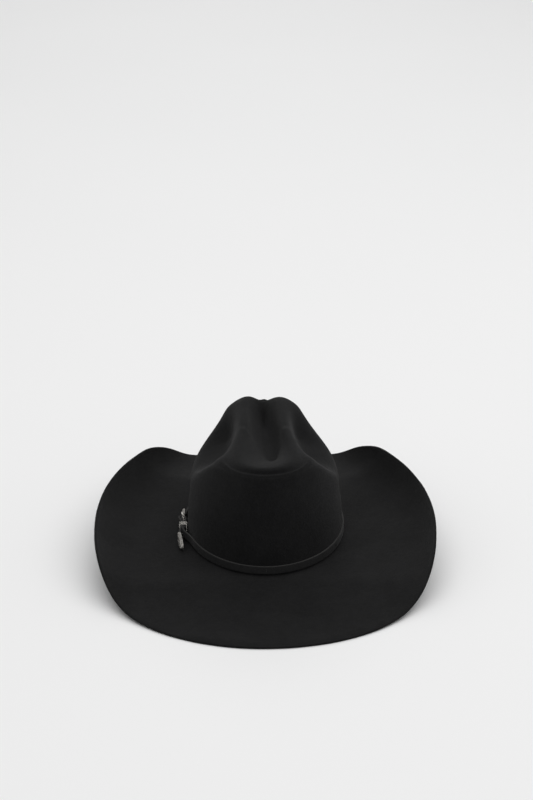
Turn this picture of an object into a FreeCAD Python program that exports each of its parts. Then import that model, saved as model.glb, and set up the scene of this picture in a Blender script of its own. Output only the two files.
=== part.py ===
"""Western felt hat with a three-crease crown, a rolled brim and a buckled felt band.

Units are millimetres. +Z is up and the hat stands on a floor at Z = 0, on the front and back of its brim.
The hat faces -Y, so +Y is the back of the head and +X is the wearer's left, where the buckle sits.
The head oval is an ellipse, and every piece that follows it takes its size from the same two half axes.
Angles round the crown start at +X and grow towards +Y.
"""
import FreeCAD
import Part
import Sketcher
import math
import os

Vector = FreeCAD.Vector

SIZES = [
    # head oval and felt
    ("head_half_length", 103.8, "outside of the felt at the band, front to back"),
    ("head_half_width", 78.8, "outside of the felt at the band, side to side"),
    ("felt_thickness", 2.2, "crown and brim"),
    # brim
    ("brim_width_side", 102.3, "flat width at the sides"),
    ("brim_width_back", 118.8, "flat width at the back"),
    ("brim_width_front", 119.1, "flat width at the front"),
    ("brim_egg", 0.117, "how much wider the back half of the cut brim is"),
    ("break_radius", 2.0, "between the crown wall and the top of the brim"),
    ("roll_start", 6.9, "flat part at the sides, past the break radius"),
    ("roll_converge", 0.174, "how fast the two rolls draw together towards the front"),
    ("roll_tighten", 0.225, "how much tighter a roll is 100 mm in front or behind"),
    ("roll_lift", 4.2, "degrees, slope at the start of the side roll"),
    ("roll_angle", 83.5, "degrees that the side roll adds by the edge"),
    ("roll_power", 2.5, "how late the side roll turns up"),
    ("droop_start", 3.0, "flat part at front and back, past the break radius"),
    ("droop_slope", 11.5, "degrees down at the start of the droop"),
    ("droop_recover", 13.5, "degrees that the droop loses by the edge"),
    ("droop_power", 1.6, "how late the droop levels out"),
    # crown
    ("wall_straight", 15.0, "height of the upright part of the crown wall"),
    ("wall_taper", 0.14, "inward lean per millimetre above it"),
    ("wall_soft", 15.0, "how gently the lean begins"),
    ("lip_side", 67.0, "height of the lip under a side dent, at the side"),
    ("lip_back", 96.0, "height of the shoulder at the back"),
    ("lip_front", 100.0, "height of the shoulder at the front"),
    ("lip_inset", 1.5, "how far in the shoulder lies behind the dents"),
    ("lip_inset_side", 4.0, "how far in it lies elsewhere"),
    ("ridge_half_width", 20.5, "top of the ridge round the middle crease, at the sides"),
    ("ridge_back", 83.0, "reach of the ridge towards the back"),
    ("ridge_front", 84.0, "reach of the ridge towards the front"),
    ("ridge_egg", 0.6, "how much wider the ridge is behind"),
    ("ridge_square_back", 0.9, "how square its back end is"),
    ("ridge_square_front", 1.3, "how square its front end is"),
    ("brow_half_width", 28.0, "outer edge of the ridge, where the side dents begin"),
    ("brow_back", 87.0, "reach of that edge towards the back"),
    ("brow_front", 89.0, "reach of that edge towards the front"),
    ("brow_egg", 0.5, "how much wider it is behind"),
    ("brow_square_back", 0.9, "how square its back end is"),
    ("brow_square_front", 1.4, "how square its front end is"),
    ("brow_drop", 3.5, "how far it lies below the top of the ridge"),
    ("front_twist", 3.0, "the crown's front lies this far to the left"),
    ("ridge_height", 111.0, "top of the ridge at the sides"),
    ("ridge_tilt", 0.05, "how fast the ridge's front climbs towards the right"),
    ("ridge_rise", 0.06, "how fast the ridge climbs towards the front"),
    ("notch_depth", 10.5, "dip of the ridge in front"),
    ("notch_width", 13.0, "half width of that dip"),
    ("dent_depth", 10.0, "side dents, below a straight slope"),
    ("dome_bulge", 0.17, "rounding of the crown where there is no dent, per length of slope"),
    ("crease_height", 89.0, "bottom of the middle crease"),
    ("crease_half_width", 14.0, "middle crease halfway down"),
    ("crease_back", 46.0, "reach of the middle crease towards the back, halfway down"),
    ("crease_front", 68.0, "its reach towards the front"),
    ("crease_offset", -8.0, "the crease's bottom lies this far to the right behind"),
    # sweatband and lining
    ("piece_gap", 0.3, "free space between neighbouring soft pieces"),
    ("lining_gap", 0.8, "free space between the felt and the lining or the reed tape"),
    ("sweatband_height", 50.0, "leather strip inside the crown"),
    ("sweatband_thickness", 1.0, ""),
    ("seam_gap", 0.8, "between the leather's ends at the back"),
    ("reed_diameter", 1.5, "plastic cord under the sweatband's lower edge"),
    ("reed_tape_height", 9.0, "cloth strip that ties the reed to the leather"),
    ("cloth_thickness", 0.4, "lining and reed tape"),
    ("lining_start", 16.0, "lower edge of the lining, above the brim"),
    ("lining_seam_height", 56.0, "seam between lining side and tip"),
    ("lining_dome", 15.0, "height of the lining's tip above that seam"),
    ("lining_slack", 3.0, "how far the lining's top stands off the felt"),
    ("piping_diameter", 1.6, "cord sewn into the lining's seam"),
    ("bow_width", 24.0, "ribbon bow at the back of the sweatband"),
    ("bow_height", 9.0, ""),
    ("bow_thickness", 2.4, ""),
    ("thread_diameter", 0.6, ""),
    ("stitch_length", 3.0, ""),
    ("stitch_clearance", 0.1, "between a stitch and the leather it lies on"),
    ("stitch_height", 4.0, "row of stitches above the sweatband's lower edge"),
    # hatband, and the buckle set at the wearer's left
    ("band_height", 8.0, ""),
    ("band_thickness", 1.8, ""),
    ("band_lift", 2.6, "lower edge of the band above the brim"),
    ("layer_gap", 0.3, "between the layers of the overlap"),
    ("flap_end", 19.0, "end of the folded flap, behind the middle of the side"),
    ("bar_position", 4.0, "heel bar, in front of the middle of the side"),
    ("bar_diameter", 2.2, ""),
    ("buckle_reach", 16.0, "heel bar to the middle of the front rail"),
    ("buckle_height", 12.6, ""),
    ("buckle_thickness", 2.0, ""),
    ("buckle_rail", 2.6, "width of the front rail"),
    ("buckle_corner", 3.5, "corner radius"),
    ("prong_diameter", 1.4, ""),
    ("eye_height", 1.8, "the prong's eye, a little taller than the prong is thick"),
    ("prong_overhang", 2.0, "how far the prong passes the front rail's middle"),
    ("keeper_position", 11.0, "middle of the keeper, behind the middle of the side"),
    ("keeper_length", 6.0, ""),
    ("keeper_wall", 0.8, ""),
    ("metal_clearance", 0.2, "round the band inside keeper, buckle and tip"),
    ("pivot_clearance", 0.05, "between the prong's eye and the heel bar"),
    ("tip_position", 31.0, "open end of the metal tip, behind the middle of the side"),
    ("tip_stand_off", 7.7, "middle of the tip's open end, out from the side of the crown"),
    ("tip_turn", 8.0, "degrees that the tip turns in towards the crown"),
    ("tip_length", 24.0, ""),
    ("tip_wall", 0.6, ""),
    ("tip_point", 5.0, "length of its pointed end"),
    ("rivet_diameter", 1.6, ""),
    ("tack_count", 3, "places where the band is sewn to the crown"),
]

COLUMNS = 72          # points round the head
BRIM_ROWS = 14        # points across the brim
BREAK_ROWS = 4        # points round the break radius
ROLL_STEPS = 40       # steps of the integration along a roll
ONSET = 8.0           # a roll reaches its first slope in one eighth of its width
ROW_DIP = 0.08        # the under side's spline dips this far between its rows

doc = FreeCAD.newDocument("western_hat")
sheet = doc.addObject("Spreadsheet::Sheet", "sizes")
for row, (name, value, note) in enumerate(SIZES, start=1):
    sheet.set("A%d" % row, name)
    sheet.set("B%d" % row, str(value))
    sheet.set("C%d" % row, note)
    sheet.setAlias("B%d" % row, name)
doc.recompute()


def size(name):
    """A driving dimension, read from the spreadsheet."""
    return float(sheet.get(name))


# ---------------------------------------------------------------- the felt's shape

def smooth_step(x):
    x = min(1.0, max(0.0, x))
    return x * x * (3.0 - 2.0 * x)


def rolled(distance, start, end, first, added, power):
    """Where a point of a flat strip goes when the strip is rolled from start to end.

    The slope is first degrees at the start and gains added degrees by the end.
    Returns the distance it ends up at and how far it has risen.
    """
    if distance <= start:
        return distance, 0.0
    width = end - start
    step = (distance - start) / ROLL_STEPS
    out, up = start, 0.0
    for k in range(ROLL_STEPS):
        share = (k + 0.5) * step / width
        slope = math.radians(first * min(1.0, ONSET * share) + added * share ** power)
        out += step * math.cos(slope)
        up += step * math.sin(slope)
    return out, up


def brim_point(angle, share):
    """The brim's top, from the break radius at share 0 to the edge at share 1."""
    c, s = math.cos(angle), math.sin(angle)
    inner_x = size("head_half_width") + size("break_radius")
    inner_y = size("head_half_length") + size("break_radius")
    edge_x = size("head_half_width") + size("brim_width_side")
    width_y = size("brim_width_back") if s > 0 else size("brim_width_front")
    edge_y = size("head_half_length") + width_y
    flat_x = ((1 - share) * inner_x + share * edge_x * (1 + size("brim_egg") * s)) * c
    flat_y = ((1 - share) * inner_y + share * edge_y) * s
    roll_x = inner_x + size("roll_start")
    roll_width = (edge_x - roll_x) * math.exp(-size("roll_tighten") * (flat_y / 100) ** 2)
    roll_x += size("roll_converge") * flat_y
    x, rise = rolled(abs(flat_x), roll_x, roll_x + roll_width,
                     size("roll_lift"), size("roll_angle"), size("roll_power"))
    y, drop = rolled(abs(flat_y), inner_y + size("droop_start"), edge_y,
                     size("droop_slope"), -size("droop_recover"), size("droop_power"))
    return Vector(math.copysign(x, c), math.copysign(y, s), rise - drop)


def break_point(angle, turn):
    """The radius between brim and crown: turn 0 on the brim, 90 degrees on the wall."""
    radius = size("break_radius")
    away = radius * (1 - math.sin(turn))
    return Vector((size("head_half_width") + away) * math.cos(angle),
                  (size("head_half_length") + away) * math.sin(angle),
                  radius * (1 - math.cos(turn)))


def lean(height):
    """How far the crown wall has come in at a height above the break."""
    above = max(0.0, height - size("wall_straight"))
    soft = size("wall_soft")
    return size("wall_taper") * (above - soft * (1 - math.exp(-above / soft)))


def wall_point(angle, height, inset=0.0):
    inward = lean(height) + inset
    return Vector((size("head_half_width") - inward) * math.cos(angle),
                  (size("head_half_length") - inward) * math.sin(angle), height)


def lip_point(angle):
    """The lower edge of the side dents, and the shoulder where there is no dent."""
    s = math.sin(angle)
    height = size("lip_side")
    if s > 0:
        height += (size("lip_back") - height) * smooth_step(s / 0.8)
    else:
        height += (size("lip_front") - height) * abs(s) ** 1.5
    inset = size("lip_inset_side")
    inset += (size("lip_inset") - inset) * smooth_step((s + 0.1) / 0.7)
    return wall_point(angle, height, inset)


def ring_point(angle, half_width, back, front, egg=0.0, square_back=0.0, square_front=0.0):
    """A closed level curve round the crown's top."""
    c, s = math.cos(angle), math.sin(angle)
    square = square_back if s > 0 else square_front
    x = half_width * c * (1 + egg * s + square * s * s)
    x += size("front_twist") * ((1 - s) / 2) ** 2
    y = s * ((back + front) / 2 + (back - front) / 2 * s)
    return Vector(x, y, 0)


def crown_level(point):
    """Height of the ridge above a point of the plan."""
    level = size("ridge_height") - size("ridge_rise") * point.y
    if point.y < 0:
        level -= size("notch_depth") * math.exp(-(point.x / size("notch_width")) ** 2)
        level -= size("ridge_tilt") * point.x * (point.y / size("ridge_front")) ** 2
    return level


def ridge_point(angle):
    point = ring_point(angle, size("ridge_half_width"), size("ridge_back"),
                       size("ridge_front"), size("ridge_egg"), size("ridge_square_back"),
                       size("ridge_square_front"))
    point.z = crown_level(point)
    return point


def brow_point(angle):
    point = ring_point(angle, size("brow_half_width"), size("brow_back"),
                       size("brow_front"), size("brow_egg"), size("brow_square_back"),
                       size("brow_square_front"))
    point.z = crown_level(point) - size("brow_drop")
    return point


def dent_share(angle):
    """1 where a side dent is full, 0 at the back and towards the front."""
    s = math.sin(angle)
    return smooth_step((0.66 - s) / 0.5) * smooth_step((0.8 + s) / 0.5)


def slope_point(angle, along, depth_share):
    """A point between lip and brow, raised into a dome or pushed into a dent."""
    low, high = lip_point(angle), brow_point(angle)
    chord = high - low
    across = math.hypot(chord.x, chord.y)
    outward = Vector(-chord.x / across, -chord.y / across, 0)
    normal = outward * chord.z + Vector(0, 0, across)
    normal.normalize()
    dent = dent_share(angle)
    offset = size("dome_bulge") * chord.Length * (1 - dent) - size("dent_depth") * dent
    return low + chord * along + normal * offset * depth_share


def crease_points(angle):
    """Three rings that go down into the middle crease, the last one flat and narrow."""
    wide = size("crease_half_width")
    back, front = size("crease_back"), size("crease_front")
    bottom = size("crease_height")
    ridge = ridge_point(angle)
    rings = []
    for width, reach, share in ((wide, 1.0, 0.42), (wide / 2, 0.8, 0.05), (wide / 4, 0.6, 0.0)):
        point = ring_point(angle, width, back * reach, front * reach)
        behind = (1 + math.sin(angle)) / 2
        point.x += size("crease_offset") * (1 - share) * (0.3 + 0.7 * behind)
        point.z = bottom + (ridge.z - bottom) * share
        rings.append(point)
    return rings


CROWN_KNOTS = [0.0, 0.15, 0.30, 0.42, 0.51, 0.60, 0.69, 0.75, 0.86, 0.95, 1.0]
CROWN_SAMPLES = 36
INSET_POWER = 6       # the shoulder's inset begins above the sweatband


def crown_column(angle):
    """The crown's outside from the straight wall to the bottom of the middle crease."""
    low = size("wall_straight")
    lip = lip_point(angle)
    upright = wall_point(angle, low)
    points = [upright]
    for share in (1 / 3, 2 / 3):
        height = low + (lip.z - low) * share
        inset = (wall_point(angle, lip.z) - lip).Length * share ** INSET_POWER
        points.append(wall_point(angle, height, inset))
    points.append(lip)
    points.append(slope_point(angle, 0.34, 0.75))
    points.append(slope_point(angle, 0.66, 1.0))
    points.append(brow_point(angle))
    points.append(ridge_point(angle))
    points += crease_points(angle)
    curve = Part.BSplineCurve()
    curve.interpolate(Points=points, Parameters=CROWN_KNOTS)
    return [curve.value(k / CROWN_SAMPLES) for k in range(CROWN_SAMPLES + 1)]


def top_column(angle):
    """The felt's top side from the brim's edge to the bottom of the middle crease."""
    column = [brim_point(angle, 1 - k / BRIM_ROWS) for k in range(BRIM_ROWS)]
    turns = [math.pi / 2 * k / BREAK_ROWS for k in range(BREAK_ROWS + 1)]
    column += [break_point(angle, turn) for turn in turns]
    return column + crown_column(angle)


def column_angles():
    return [-math.pi / 2 + 2 * math.pi * k / COLUMNS for k in range(COLUMNS)]


def offset_grid(grid, distance):
    """The grid moved towards the hat's inside along its own normals."""
    count, rows = len(grid), len(grid[0])
    moved = []
    for j in range(count):
        column = []
        for i in range(rows):
            round_head = grid[(j + 1) % count][i] - grid[j - 1][i]
            up = grid[j][min(i + 1, rows - 1)] - grid[j][max(i - 1, 0)]
            normal = round_head.cross(up)
            normal.normalize()
            column.append(grid[j][i] - normal * distance)
        moved.append(column)
    return moved


def spread(grid):
    """Parameters up the columns: the average share of the way along, so no column bunches up."""
    shares = [0.0] * len(grid[0])
    for column in grid:
        way = [0.0]
        for i in range(1, len(column)):
            way.append(way[-1] + (column[i] - column[i - 1]).Length)
        for i, distance in enumerate(way):
            shares[i] += distance / way[-1] / len(grid)
    shares[-1] = 1.0
    return shares


def spline(points, parameters, closed=False):
    curve = Part.BSplineCurve()
    curve.interpolate(Points=points, Parameters=parameters, PeriodicFlag=closed)
    return curve


def skin(grid):
    """A smooth closed surface through a grid of points, splined up the columns and then round."""
    shares = spread(grid)
    turns = [k / COLUMNS for k in range(COLUMNS + 1)]
    columns = [spline(column, shares) for column in grid]
    rings = []
    for i in range(1, columns[0].NbPoles + 1):
        rings.append(spline([curve.getPole(i) for curve in columns], turns, True))
    poles = []
    for j in range(1, rings[0].NbPoles + 1):
        poles.append([ring.getPole(j) for ring in rings])
    surface = Part.BSplineSurface()
    surface.buildFromPolesMultsKnots(
        poles, rings[0].getMultiplicities(), columns[0].getMultiplicities(),
        rings[0].getKnots(), columns[0].getKnots(), True, False, 3, 3)
    surface.setUNotPeriodic()
    surface.segment(0, 1, 0, 1)
    return surface


def rim_edge(surface, at_edge):
    first, last = surface.bounds()[2:]
    return surface.vIso(first if at_edge else last).toShape()


felt_top = [top_column(angle) for angle in column_angles()]
felt_under = offset_grid(felt_top, size("felt_thickness"))
cap_level = sum(column[-1].z for column in felt_under) / COLUMNS
for column in felt_under:
    column[-1].z = cap_level
floor = min(point.z for column in felt_under for point in column)
BREAK_HEIGHT = ROW_DIP - floor
for grid in (felt_top, felt_under):
    for column in grid:
        for point in column:
            point.z += BREAK_HEIGHT


def feature(label, shape):
    piece = doc.addObject("Part::Feature", label)
    piece.Label = label
    piece.Shape = shape
    return piece


def part(kind, label, **values):
    """A Part object with its own label; text values are expressions on the sheet."""
    piece = doc.addObject("Part::" + kind, label)
    piece.Label = label
    for name, value in values.items():
        if isinstance(value, str):
            piece.setExpression(name.replace("__", "."), value)
        else:
            setattr(piece, name, value)
    return piece


def at(piece, x, y, z):
    """Bind a piece's place to the sheet."""
    for axis, value in zip("xyz", (x, y, z)):
        piece.setExpression("Placement.Base." + axis, value)
    return piece


def turned(piece, axis, degrees):
    piece.Placement.Rotation = FreeCAD.Rotation(axis, degrees)
    return piece


def cut(label, base, tool):
    return part("Cut", label, Base=base, Tool=tool)


def group(label, shapes):
    return feature(label, Part.Compound(shapes))


# one more cell of the sheet: the height of the brim's top at the break
sheet.set("A200", "brim_level")
sheet.set("B200", "%.4f" % BREAK_HEIGHT)
sheet.set("C200", "worked out from the droop, so that the hat stands on the floor")
sheet.setAlias("B200", "brim_level")
doc.recompute()


# ---------------------------------------------------------------- felt

def make_felt_body():
    """Crown and brim are one piece of felt: two skins joined at the brim's cut edge."""
    top, under = skin(felt_top), skin(felt_under)
    faces = [top.toShape(), under.toShape()]
    faces.append(Part.makeRuledSurface(rim_edge(top, True), rim_edge(under, True)))
    faces.append(Part.Face(Part.Wire(rim_edge(top, False))))
    faces.append(Part.Face(Part.Wire(rim_edge(under, False))))
    shell = Part.Compound(faces)
    shell.sewShape(0.01)
    solid = Part.makeSolid(shell.Shells[0])
    if solid.Volume < 0:
        solid.reverse()
    return feature("felt_body", solid)


# ---------------------------------------------------------------- sweatband and lining

LEAN = ("sizes.wall_taper * ({0} - sizes.wall_soft * (1 - exp(-({0}) / sizes.wall_soft)))")
LINING_IN = "sizes.felt_thickness + sizes.lining_gap"
LEATHER_IN = LINING_IN + " + sizes.cloth_thickness + sizes.piece_gap"
REED_TOP = "sizes.reed_diameter / 2 + sizes.piece_gap"


def lean_text(height):
    """The wall's lean as an expression on the sheet."""
    return LEAN.format("max(0; %s - sizes.wall_straight)" % height)


def oval(label, height, inward):
    """A level oval that runs inside the crown wall; both arguments are expressions."""
    ring = part("Ellipse", label,
                MajorRadius="sizes.head_half_length - (%s)" % inward,
                MinorRadius="sizes.head_half_width - (%s)" % inward)
    turned(ring, Vector(0, 0, 1), 90)
    return at(ring, "0", "0", "sizes.brim_level + " + height)


def oval_tube(label, heights, inward, thickness, slack="0"):
    """A thin tube of cloth or leather that follows the crown wall's lean.

    Only its top ring stands off the wall, by the slack.
    """
    lofts = []
    for side, extra in (("outer", "0"), ("inner", thickness)):
        rings = []
        for k, height in enumerate(heights):
            stand_off = slack if k == len(heights) - 1 else "0"
            depth = "%s + %s + %s + %s" % (inward, extra, lean_text(height), stand_off)
            rings.append(oval("%s_%s_%d" % (label, side, k), height, depth))
        lofts.append(part("Loft", "%s_%s" % (label, side), Sections=rings, Solid=True,
                          Ruled=True))
    return cut(label, lofts[0], lofts[1])


def heights_between(low, high, steps):
    return ["(%s) + %.6f * ((%s) - (%s))" % (low, k / steps, high, low)
            for k in range(steps + 1)]


def inside_oval(inward, angle, height):
    """A point inside the crown wall and the direction along the wall there."""
    x, y = size("head_half_width") - inward, size("head_half_length") - inward
    point = Vector(x * math.cos(angle), y * math.sin(angle), BREAK_HEIGHT + height)
    along = Vector(-x * math.sin(angle), y * math.cos(angle), 0)
    along.normalize()
    return point, along


def thread(start, end):
    """One stitch: a short round bar."""
    return Part.makeCylinder(size("thread_diameter") / 2, (end - start).Length, start,
                             end - start)


def leather_face(extra=0.0):
    """How far inside the felt's outside the leather's inner face lies."""
    return (size("felt_thickness") + size("lining_gap") + size("cloth_thickness")
            + size("piece_gap") + size("sweatband_thickness") + extra)


def make_sweatband():
    tube = oval_tube("sweatband_tube",
                     heights_between(REED_TOP, "sizes.sweatband_height", 8),
                     LEATHER_IN, "sizes.sweatband_thickness")
    gap = part("Box", "sweatband_gap", Length="sizes.seam_gap", Width="sizes.head_half_length",
               Height="2 * sizes.sweatband_height")
    at(gap, "-sizes.seam_gap / 2", "0", "sizes.brim_level - sizes.sweatband_height / 2")
    return cut("sweatband", tube, gap)


def make_reed():
    """The reed keeps the hat's opening in shape; it runs all the way round."""
    inward = LEATHER_IN + " + sizes.reed_diameter / 2"
    path = oval("reed_path", "0", inward)
    profile = part("Circle", "reed_section", Radius="sizes.reed_diameter / 2")
    turned(profile, Vector(0, 1, 0), 90)
    at(profile, "0", "-(sizes.head_half_length - (%s))" % inward, "sizes.brim_level")
    return part("Sweep", "sweatband_reed", Sections=[profile], Spine=(path, ["Edge1"]),
                Solid=True, Frenet=True)


def make_reed_tape():
    low = "-sizes.reed_diameter / 2"
    return oval_tube("reed_tape", heights_between(low, "sizes.reed_tape_height", 1),
                     LINING_IN, "sizes.cloth_thickness")


def make_sweatband_stitches():
    """The row that holds the leather to the reed tape, seen on the leather's inner face."""
    inward = leather_face(size("thread_diameter") / 2 + size("stitch_clearance"))
    around = 2 * math.pi * (size("head_half_width") + size("head_half_length")) / 2
    count = int(around / (3 * size("stitch_length")))
    stitches = []
    for k in range(count):
        angle = math.pi / 2 + 2 * math.pi * (k + 0.5) / count
        middle, along = inside_oval(inward, angle, REED_LIFT + size("stitch_height"))
        half = along * (size("stitch_length") / 2)
        stitches.append(thread(middle - half, middle + half))
    return group("sweatband_stitches", stitches)


REED_LIFT = size("reed_diameter") / 2 + size("piece_gap")


def make_seam_stitches():
    """Level stitches that close the leather's seam at the back, above the bow."""
    stitches = []
    half_stitch = size("thread_diameter") / 2
    low = REED_LIFT + 2 * size("stitch_height") + size("bow_height")
    height = low
    while height < size("sweatband_height") - size("stitch_height"):
        inward = leather_face(size("thread_diameter") / 2 + size("stitch_clearance"))
        inward += lean(height + half_stitch)
        middle, along = inside_oval(inward, math.pi / 2, height)
        half = along * (size("seam_gap") / 2 + size("stitch_length") / 2)
        stitches.append(thread(middle - half, middle + half))
        height += size("stitch_height")
    return group("seam_stitches", stitches)


def make_bow():
    """A flat ribbon bow: two loops that widen away from a knot."""
    leather = leather_face(size("piece_gap"))
    x, y = size("head_half_width") - leather, size("head_half_length") - leather
    hollow = y * (1 - math.sqrt(1 - (size("bow_width") / 2 / x) ** 2))
    face = Vector(0, y - hollow,
                  BREAK_HEIGHT + REED_LIFT + 2 * size("stitch_height") + size("bow_height") / 2)
    loops = []
    for name, side in (("left", 1), ("right", -1)):
        loop = part("Wedge", "bow_loop_" + name, Ymax="sizes.bow_width / 2",
                    Xmin="-sizes.bow_height / 6", Xmax="sizes.bow_height / 6",
                    X2min="-sizes.bow_height / 2", X2max="sizes.bow_height / 2",
                    Zmax="sizes.bow_thickness * 0.6", Z2max="sizes.bow_thickness")
        loop.Ymin = loop.Zmin = loop.Z2min = 0
        loop.Placement = FreeCAD.Placement(face, FreeCAD.Rotation(
            Vector(0, 0, side), Vector(side, 0, 0), Vector(0, -1, 0), "ZYX"))
        loops.append(loop)
    knot = part("Box", "bow_knot", Length="sizes.bow_width / 5", Height="sizes.bow_height / 2")
    knot.Width = 0.9 * size("bow_thickness") + hollow
    knot.Placement.Base = face - Vector(size("bow_width") / 10, 0.9 * size("bow_thickness"),
                                        size("bow_height") / 4)
    return part("MultiFuse", "sweatband_bow", Shapes=loops + [knot])


def make_lining():
    """Satin lining: a side tube, a domed tip and a cord in the seam between them."""
    seam = "sizes.lining_seam_height"
    behind_leather = heights_between("sizes.lining_start", "sizes.sweatband_height", 6)
    side = oval_tube("lining_side", behind_leather + [seam], LINING_IN,
                     "sizes.cloth_thickness", "sizes.lining_slack")
    inward = "%s + %s + sizes.lining_slack" % (LINING_IN, lean_text(seam))
    domes = []
    steps = 6
    for name, extra in (("outer", "0"), ("inner", "sizes.cloth_thickness")):
        rings = []
        for k in range(steps + 1):
            turn = math.radians(84) * k / steps
            height = "%s + sizes.piece_gap + (sizes.lining_dome - %s) * %.6f" % (
                seam, extra, math.sin(turn))
            depth = "%s + %s + 0.85 * sizes.head_half_width * %.6f" % (
                inward, extra, 1 - math.cos(turn))
            rings.append(oval("lining_%s_%d" % (name, k), height, depth))
        domes.append(part("Loft", "lining_dome_" + name, Sections=rings, Solid=True,
                          Ruled=False))
    tip = cut("lining_tip", domes[0], domes[1])
    cord_in = inward + " + sizes.cloth_thickness + sizes.piece_gap + sizes.piping_diameter / 2"
    path = oval("piping_path", seam, cord_in)
    profile = part("Circle", "piping_section", Radius="sizes.piping_diameter / 2")
    turned(profile, Vector(0, 1, 0), 90)
    at(profile, "0", "-(sizes.head_half_length - (%s))" % cord_in, "sizes.brim_level + " + seam)
    cord = part("Sweep", "lining_piping", Sections=[profile], Spine=(path, ["Edge1"]),
                Solid=True, Frenet=True)
    return [side, tip, cord]


# ---------------------------------------------------------------- hatband and buckle set
# The overlap lies flat against the wearer's left side. From the crown outwards there are
# the keeper's inner wall, the folded flap, the band itself, the billet and the keeper's
# outer wall. Stand-off is measured outwards from the side of the crown.

BAND_LOW = BREAK_HEIGHT + size("band_lift")
BAND_MIDDLE = BAND_LOW + size("band_height") / 2
FLAP_OUT = (size("piece_gap") + size("keeper_wall") + size("metal_clearance")
            + size("band_thickness") / 2)
FOLD_RADIUS = (size("bar_diameter") + size("band_thickness")) / 2 + size("metal_clearance")
BAR_OUT = FLAP_OUT + FOLD_RADIUS
STRAP_OUT = FLAP_OUT + size("band_thickness") + size("layer_gap")
BILLET_OUT = STRAP_OUT + size("band_thickness") + size("layer_gap")
BILLET_CLEAR = FOLD_RADIUS + size("band_thickness") + size("layer_gap")
BAR_Y = -size("bar_position")
RAIL_Y = BAR_Y - size("buckle_reach")
SIDE_X = size("head_half_width")
PRONG_RISE = size("buckle_thickness") / 2 + size("prong_diameter") / 2 + size("metal_clearance")
PRONG_SLOPE = math.atan2(PRONG_RISE, size("buckle_reach") - size("buckle_rail") / 2)


def beside(y, out):
    """A point of the overlap from its place along the side and its stand-off."""
    return Vector(SIDE_X + out, y, BAND_LOW)


def round_crown(degrees):
    """The middle of the band where it lies on the crown wall."""
    angle = math.radians(degrees)
    out = size("piece_gap") + size("band_thickness") / 2
    x, y = size("head_half_width"), size("head_half_length")
    normal = Vector(y * math.cos(angle), x * math.sin(angle), 0)
    normal.normalize()
    return Vector(x * math.cos(angle), y * math.sin(angle), BAND_LOW) + normal * out


def band_middle():
    """The band's middle line: flap, fold, round the crown, over the buckle, into the tip."""
    fold = FOLD_RADIUS
    over = BILLET_CLEAR + size("layer_gap")
    flap = size("flap_end")
    line = [beside(flap * k / 6, FLAP_OUT) for k in (6, 5, 4, 3, 2, 1, 0)]
    for turn in range(0, 181, 20):
        a = math.radians(turn)
        line.append(beside(BAR_Y - fold * math.sin(a), BAR_OUT - fold * math.cos(a)))
    line.append(beside(BAR_Y + 3.5, (2 * (BAR_OUT + fold) + STRAP_OUT) / 3))
    line += [beside(y, STRAP_OUT) for y in (flap / 3, flap / 2, 2 * flap / 3, flap)]
    line.append(beside(flap + 4, STRAP_OUT - 0.6))
    line.append(beside(flap + 11, (STRAP_OUT - 3) / 2))
    line += [round_crown(degrees) for degrees in range(24, 336, 4)]
    line.append(beside(RAIL_Y, size("band_thickness") / 2 + 0.5))
    line.append(beside(RAIL_Y + 6, size("band_thickness") + 0.8))
    for turn in (-75, -50, -25, 0, 25):
        a = math.radians(turn)
        line.append(beside(BAR_Y + over * math.sin(a), BAR_OUT + over * math.cos(a)))
    middle = size("keeper_position")
    line += [beside(middle + step, BILLET_OUT) for step in (-5.5, -2, 2, 5.5)]
    start = Vector(SIDE_X + size("tip_stand_off"), size("tip_position"), BAND_LOW)
    line += [start + tip_direction() * (TIP_SEAT * k / 3) for k in range(4)]
    return line


def tip_direction():
    turn = math.radians(size("tip_turn"))
    return Vector(-math.sin(turn), math.cos(turn), 0)


TIP_SEAT = size("tip_length") - size("tip_point") - size("tip_wall") - 4.0


def make_hatband():
    """A strip of felt on edge, drawn in plan and raised to the band's height."""
    middle = Part.BSplineCurve()
    middle.interpolate(Points=band_middle())
    half = size("band_thickness") / 2
    pieces = 20
    run = 21
    steps = pieces * run
    ways = []
    sides = ([], [])
    for k in range(steps + 1):
        u = middle.FirstParameter + (middle.LastParameter - middle.FirstParameter) * k / steps
        tangent = middle.tangent(u)[0]
        normal = Vector(tangent.y, -tangent.x, 0)
        ways.append(tangent)
        sides[0].append(middle.value(u) + normal * half)
        sides[1].append(middle.value(u) - normal * half)
    edges = []
    for points in sides:
        for first in range(0, steps, run):
            curve = Part.BSplineCurve()
            curve.interpolate(Points=points[first:first + run + 1],
                              InitialTangent=ways[first], FinalTangent=ways[first + run])
            edges.append(curve.toShape())
    edges.append(Part.makeLine(sides[0][0], sides[1][0]))
    edges.append(Part.makeLine(sides[0][-1], sides[1][-1]))
    outline = feature("hatband_plan", Part.Face(Part.Wire(Part.__sortEdges__(edges))))
    strip = part("Extrusion", "hatband_strip", Base=outline, Dir=Vector(0, 0, 1), Solid=True,
                 LengthFwd="sizes.band_height")
    slot = part("Cylinder", "hatband_fold_slot", Height="2 * sizes.prong_diameter")
    slot.Radius = FOLD_RADIUS + size("band_thickness") / 2 + size("piece_gap") / 2
    slot.Placement.Base = Vector(SIDE_X + BAR_OUT, BAR_Y, BAND_MIDDLE - size("prong_diameter"))
    length = (size("buckle_reach") - size("buckle_rail")) / 2
    hole = part("Box", "hatband_prong_hole", Height="2 * sizes.prong_diameter")
    hole.Length = BILLET_CLEAR
    hole.Width = length
    hole.Placement.Base = Vector(SIDE_X + BAR_OUT - size("prong_diameter") / 2 - 0.3,
                                 BAR_Y - FOLD_RADIUS - 0.5 * size("band_thickness") - length,
                                 BAND_MIDDLE - size("prong_diameter"))
    return cut("hatband_cut", cut("hatband_folded", strip, slot), hole)


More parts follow.
